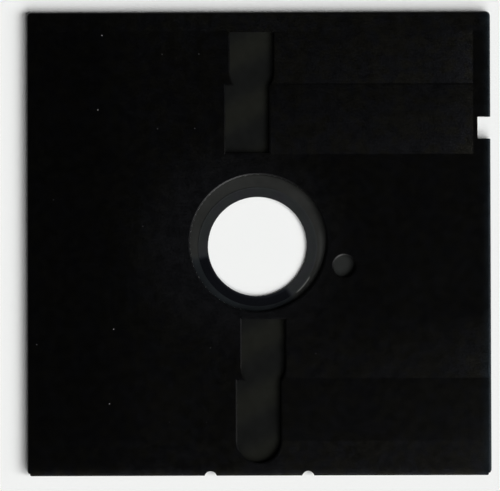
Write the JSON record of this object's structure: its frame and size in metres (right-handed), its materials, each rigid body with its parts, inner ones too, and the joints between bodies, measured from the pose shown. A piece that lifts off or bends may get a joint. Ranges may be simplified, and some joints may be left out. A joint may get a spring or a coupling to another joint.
{
  "type": "floppy disk",
  "caption": "Square flexible magnetic disk in a folded black plastic jacket, with hub, index and head windows, a write-enable notch and a film disc that spins inside it.",
  "frame": {"origin": "middle of the jacket's underside, on the surface that it lies on", "axes": "+X to the right across the face, +Y towards the label end, +Z out of the front face"},
  "size_m": [0.1334, 0.1334, 0.0018],
  "materials": {
    "jacket_sheet": "black vinyl sheet with a fine matt grain",
    "liner_fleece": "pale bonded fleece",
    "oxide_film": "dark satin oxide coating on clear film",
    "ring_film": "glossy dark grey film"
  },
  "bodies": {
    "jacket": {"jacket": "jacket_sheet", "front_liner": "liner_fleece", "back_liner": "liner_fleece"},
    "disc": {"magnetic_disc": "oxide_film", "hub_ring": "ring_film"}
  },
  "joints": [
    {"name": "disc_spin", "type": "hinge", "parent": "jacket", "child": "disc", "pos_m": [-0.00035, -0.00093, 0.00081], "axis": [0, 0, 1], "continuous": true}
  ]
}
